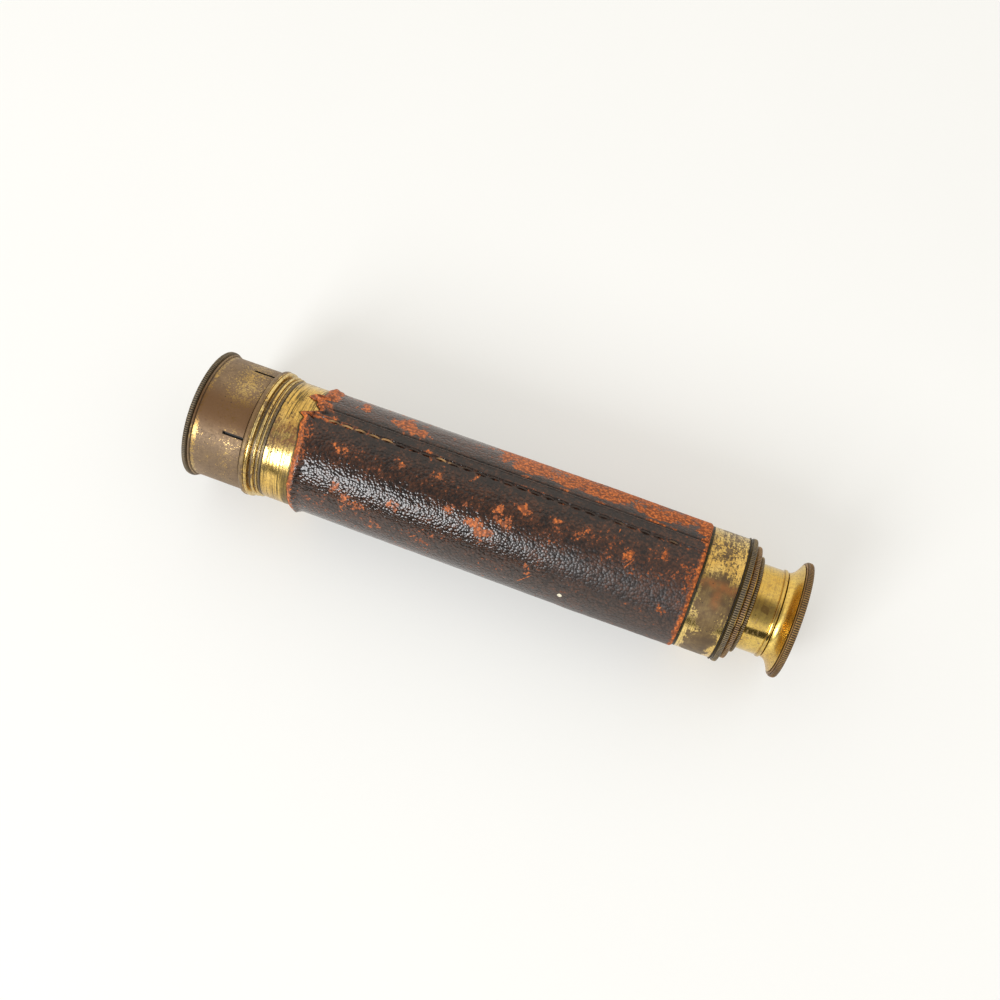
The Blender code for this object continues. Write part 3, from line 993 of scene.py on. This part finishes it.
def lip_relief(stations, angles, turn, behind, inner):
    """How far the torn front edge curls up, most of all beside the seam."""
    height = 0.95 + 0.25 * np.sin(4 * angles + 0.6)[None, :] + 0.2 * np.sin(9 * angles)[None, :]
    lip = np.exp(-((behind - 2.2) / 1.5) ** 2) * height
    lift = field(stations, angles, inner, 3.2, 7.0, 2)
    curl = np.exp(-((turn - radians(50.0)) / 0.28) ** 2) * np.exp(-((behind - 3.2) / 2.6) ** 2)
    relief = lip * (1.0 + 0.45 * lift) + 0.55 * curl * (1.0 + 0.9 * lift)
    return relief + 0.10 * lift * smooth(14.0, 0.0, behind)


def seam_relief(stations, turn, behind):
    """The overlap from the seam to the fold, its crease and ridge, and the stitch holes."""
    band = smooth(SEAM - 0.012, SEAM + 0.012, turn) * smooth(FOLD + 0.30, FOLD - 0.02, turn)
    crease = np.exp(-((turn - FOLD) / 0.014) ** 2)
    welt = np.exp(-((turn - FOLD + 0.030) / 0.014) ** 2)
    along = (stations / STITCH_PITCH + 0.5) % 1.0 - 0.5
    holes = np.exp(-((turn - STITCHES) / 0.022) ** 2)
    holes = holes * np.exp(-(along * STITCH_PITCH / 0.7) ** 2)
    relief = 0.55 * band - 0.40 * crease + 0.26 * welt - 0.30 * holes
    return smooth(0.0, 3.0, behind) * relief


def make_leather():
    rear = span("leather_cover")[1]
    inner = span("barrel_tube")[2] + 0.04
    angles = seam_weighted(LEATHER_COLUMNS)
    turn = ((angles + pi) % (2 * pi) - pi)[None, :]
    share = np.linspace(0.0, 1.0, LEATHER_ROWS) ** 1.12
    start = front_edge(angles)[None, :]
    ends = rear - 0.05 + 0.08 * np.sin(7 * angles + 1.0)[None, :]
    stations = start + share[:, None] * (ends - start)
    behind = stations - start

    radii = leather_profile(stations) + lip_relief(stations, angles, turn, behind, inner)
    radii += seam_relief(stations, turn, behind)
    radii += 0.055 * field(stations, angles, inner, 2.1, 3.0, 3)
    radii += 0.05 * field(stations, angles, inner, 14.0, 21.0, 2)
    edge = smooth(0.0, 0.5, behind) * smooth(0.0, 0.35, ends - stations)
    radii = inner + 0.30 + (radii - inner - 0.30) * edge
    radii[0] = inner + 0.12
    radii[-1] = inner + 0.25
    bottom = np.full(LEATHER_COLUMNS, inner)
    radii = np.vstack([radii, bottom, bottom])
    stations = np.vstack([stations, stations[-1], stations[0]])
    mesh = ring_mesh("leather_cover_pebbled", stations, radii, angles, sharp=60.0)
    add_object("leather_cover_pebbled", mesh, "leather_cover", LEATHER)


def make_stitches():
    """Short stitches of twisted thread that dip into their holes along the seam, as one run."""
    front, rear = span("seam_thread")[:2]
    steps, sides, thick = 16, 8, 0.36
    first = ceil(front / STITCH_PITCH + 0.5)
    last = floor(rear / STITCH_PITCH - 0.5)
    shape = bmesh.new()
    rings = []
    for k in range((last - first) * steps + 1):
        share = k / steps
        station = (first - 0.5 + share) * STITCH_PITCH
        phase = share % 1.0
        height = leather_profile(np.array([station]))[0] + 0.10 + thick * 0.5
        height -= 1.0 * (1 - sin(pi * phase)) ** 2.2
        sway = STITCHES - 0.004 * cos(2 * pi * phase) + 0.004 * sin(3.1 * share)
        ring = []
        for side in range(sides):
            spin = 2 * pi * side / sides
            radius = height + thick * sin(spin)
            around = sway + thick * cos(spin) / height
            ring.append(shape.verts.new((
                station_x(station), radius * sin(around) * MM, radius * cos(around) * MM,
            )))
        rings.append(ring)
    for near, far in zip(rings, rings[1:]):
        for side in range(sides):
            after = (side + 1) % sides
            shape.faces.new((near[side], near[after], far[after], far[side]))
    shape.faces.new(rings[0][::-1])
    shape.faces.new(rings[-1])
    bmesh.ops.recalc_face_normals(shape, faces=shape.faces)
    mesh = bpy.data.meshes.new("seam_stitches")
    shape.to_mesh(mesh)
    shape.free()
    mesh.shade_smooth()
    add_object("seam_stitches", mesh, "seam_thread", THREAD)


# ---- rings, draws and eyepiece

def make_end_ring(node, flange, spigot, bore, cove, material):
    """An end ring: a spigot in the tube, then a flange with a cove, if it has one, and teeth."""
    front, rear, radius = span(node)
    side = [(flange, spigot), (flange, radius - 0.35), (flange + 0.15, radius - 0.12)]
    if cove:
        side += [(flange + 0.25, radius - 0.12), (flange + 0.45, radius - 0.55),
                 (flange + 0.75, radius - 0.65), (flange + 1.0, radius - 0.5)]
    start = flange + (1.1 if cove else 0.2)
    turned(
        node,
        [(front, spigot)] + side + milled_band(start, rear - 0.08, radius, 0.30)
        + [(rear, radius - 0.45), (rear, bore), (front, bore)],
        material, teeth=TEETH[node], ease=0.06,
    )


def make_draw_tube(number, wall):
    node = f"draw_{number}_tube"
    front, rear, radius = span(node)
    turned(
        node,
        [(front, radius - 0.08), (front + 0.1, radius), (rear, radius), (rear, radius - wall),
         (front, radius - wall)],
        DRAW_BRASS, columns=216, ease=0.05, dent=0.015,
    )


def make_neck():
    front, rear, radius = span("eyepiece_neck")
    neck = radius - 0.6
    turned(
        "eyepiece_neck",
        [(front, neck - 0.1), (front + 0.1, neck), (rear - 1.95, neck), (rear - 1.85, neck - 0.12),
         (rear - 1.70, neck - 0.12)]
        + bead(rear - 1.60, rear - 0.15, neck + 0.15, radius - 0.05)
        + [(rear, neck - 1.6), (rear - 1.0, neck - 1.6), (rear - 1.0, neck - 0.7),
           (front, neck - 0.7)],
        POLISHED_BRASS, ease=0.05,
    )


def make_bell():
    front, rear, radius = span("eyepiece_bell")
    start, end, waist = front + 3.0, rear - 0.55, radius - 4.75
    bore, spigot = 7.6, 14.4
    flare = []
    for k in range(15):
        share = k / 14
        flare.append((start + (end - start) * share, waist + (radius - 0.15 - waist) * share ** 2.1))
    turned(
        "eyepiece_bell",
        flare + [(end + 0.05, radius - 0.3), (end + 0.05, 12.0), (rear - 1.6, 9.0),
                 (rear - 1.6, bore), (front, bore), (front, spigot), (start, spigot)],
        BELL_BRASS, ease=0.06,
    )


def make_eyecup():
    front, rear, radius = span("eyecup")
    band = rear - 2.75
    hole, seat = 4.5, 7.4
    turned(
        "eyecup",
        [(band + 0.05, 13.0), (band + 0.05, radius - 1.35)]
        + bead(band + 0.05, band + 0.5, radius - 0.95, radius - 0.5)
        + [(band + 0.52, radius - 0.75)]
        + milled_band(band + 0.6, rear - 0.1, radius, 0.28)
        + [(rear - 0.02, radius - 0.3), (rear, radius - 0.8), (rear - 0.05, radius - 1.5),
           (rear - 0.22, radius - 2.6), (rear - 0.50, radius - 2.85), (rear - 0.9, radius - 6.8),
           (rear - 2.0, radius - 12.0), (rear - 2.85, 7.9), (rear - 3.05, 7.6),
           (rear - 2.85, 7.25), (rear - 2.75, 6.2), (rear - 2.95, 5.6), (rear - 4.0, hole + 0.4),
           (rear - 5.0, hole), (front, hole), (front, seat), (front + 1.5, seat)],
        EYECUP_BRASS, teeth=TEETH["eyecup"], ease=0.10,
    )


# ---- studio

def make_table():
    """A table just under the widest pieces, which are round where the CAD has flats."""
    height = min(CAD_LOW[2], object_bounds()[0][2]) - 0.01 * MM
    bpy.ops.mesh.primitive_plane_add(size=6.0, location=(0.0, 0.0, height))
    table = bpy.context.object
    table.name = "table"
    table.data.materials.append(glowing_table_material())


def make_world():
    """A pale room: white all round, less light from straight above, and a dark band low in front.

    The band is a doorway that the metal mirrors. The room behind the object stays plain white.
    """
    world = bpy.data.worlds.new("studio")
    bpy.context.scene.world = world
    world.use_nodes = True
    tree = world.node_tree
    g = Graph(tree)
    direction = g.add("ShaderNodeTexCoord").outputs["Generated"]
    x, y, z = g.split(direction)
    toward = Vector((0.06, -0.30, 0.952)).normalized()
    facing = g.total((x, toward.x), (y, toward.y), (z, toward.z))
    overhead = g.step(facing, 0.72, 0.95)
    low_band = g.times(g.window(z, -0.06, 0.34, 0.02), g.step(y, -0.2, -0.5))
    strength = g.times(g.total((overhead, -0.68), 1.08), g.total((low_band, -0.94), 1.0))
    background = tree.nodes["Background"]
    tone = g.mix(g.step(y, -0.5, 0.6), (1.0, 0.99, 0.965), (1.0, 0.95, 0.86))
    behind = g.add("ShaderNodeLightPath").outputs["Is Camera Ray"]
    tone = g.mix(behind, tone, (0.93, 0.925, 0.91))
    strength = g.most(strength, behind)
    tree.links.new(tone, background.inputs["Color"])
    tree.links.new(strength, background.inputs["Strength"])


KEY_DISTANCE = 2.5  # metres


def make_key_light():
    light = bpy.data.lights.new("key", "AREA")
    light.shape = "RECTANGLE"
    light.size = 0.42 * KEY_DISTANCE
    light.size_y = 0.40 * KEY_DISTANCE
    light.energy = 6.8 * KEY_DISTANCE ** 2
    light.color = (0.97, 0.985, 1.0)
    key = new_object("key", light)
    direction = Vector((-0.37, -0.77, 0.53)).normalized()
    key.location = AXIS + direction * KEY_DISTANCE
    key.rotation_euler = direction.to_track_quat("Z", "Y").to_euler()


def make_camera():
    camera = bpy.data.cameras.new("camera")
    camera.lens = LENS_MM
    camera.sensor_width = 36.0
    camera.clip_start = 0.01
    obj = new_object("camera", camera)
    obj.location = AXIS + CAMERA_FROM_AXIS
    obj.rotation_euler = (pi / 2 - VIEW_ELEVATION, 0.0, VIEW_AZIMUTH)
    bpy.context.scene.camera = obj


# ---- the telescope

GREY_BROWN = (0.215, 0.165, 0.100)
RINGS = (
    # node and its brass, share and brown of its tarnish, where its flange starts, the radii of
    # its spigot and bore, and what darkens its cove
    ("barrel_end_ring", "first_ring_brass", 0.90, GREY_BROWN, 216.65, 23.0, 21.9, cove_darkening),
    ("draw_1_end_ring", "second_ring_brass", 0.86, (0.370, 0.215, 0.110), 220.2, 20.2, 19.3, None),
    ("draw_2_end_ring", "third_ring_brass", 0.86, (0.310, 0.225, 0.125), 222.8, 17.7, 17.1, None),
)

CAP_RIM_BRASS = brass("cap_rim_brass", 0.80, tint=(0.45, 0.32, 0.14), brown=GREY_BROWN,
                      rough=0.24, milled="cap_plate", clean_inside=False, grime_and_shade=face_step_shade)
CAP_BRASS = brass("cap_patina_brass", 1.0, flecks=cap_flecks, tint=(0.74, 0.54, 0.20),
                  brown=(0.255, 0.165, 0.092), rough=0.29, grime_and_shade=slit_shade, stain=cap_stain,
                  thin=0.95)
COLLAR_BRASS = brass("collar_brass", collar_tarnish, tint=(0.88, 0.68, 0.28),
                     brown=(0.225, 0.140, 0.070), lines=0.00003, grime_and_shade=collar_grime,
                     stain=collar_stain)
BARREL_BRASS = brass("barrel_brass", barrel_tarnish, tint=(0.94, 0.69, 0.24),
                     brown=(0.125, 0.074, 0.030), lines=0.00003, grime_and_shade=barrel_grime_and_shadow,
                     stain=barrel_stain, scratches=0.55, fine=1150.0, thin=0.90)
POLISHED_BRASS = brass("eyepiece_brass", 0.26, rough=0.11, stain=neck_stain, grime_and_shade=bead_grime,
                       grain=0.000006)
BELL_BRASS = brass("bell_brass", 0.24, tint=(0.92, 0.66, 0.18), rough=0.26, grain=0.000006)
DRAW_BRASS = brass("draw_tube_brass", 0.20, rough=0.16)
EYECUP_BRASS = brass("eyecup_brass", 0.75, tint=(0.62, 0.40, 0.13), brown=(0.270, 0.142, 0.040),
                     rough=0.16, milled="eyecup", clean_inside=False, grime_and_shade=dish_grime)
INNER_BRASS = brass("inner_brass", 0.45, rough=0.30)
BLACK = black_material()
LEATHER = leather_material()
THREAD = thread_material()
GLASS = glass_material()

make_cap()
make_collar()
make_barrel()
make_objective()
make_leather()
make_stitches()
for node, name, tarnish, brown, flange, spigot, bore, cove in RINGS:
    ring_brass = brass(name, tarnish, brown=brown, rough=0.14, grime_and_shade=cove, milled=node)
    make_end_ring(node, flange, spigot, bore, cove, ring_brass)
for number, wall in ((1, 0.7), (2, 0.6), (3, 0.6)):
    make_draw_tube(number, wall)
make_neck()
make_bell()
make_eyecup()
make_lens("eye_lens", 0.0, 1.4)

FINISHES = {
    "polished_brass": POLISHED_BRASS, "aged_brass": INNER_BRASS, "dark_brass": CAP_RIM_BRASS,
    "blackened_brass": BLACK, "leather": LEATHER, "thread": THREAD, "optical_glass": GLASS,
}
for node, obj in frame["nodes"].items():
    obj.data.materials.clear()
    obj.data.materials.append(FINISHES[SLOTS[node]])

make_table()
make_world()
make_key_light()
make_camera()
bpy.context.scene.view_settings.view_transform = "Standard"
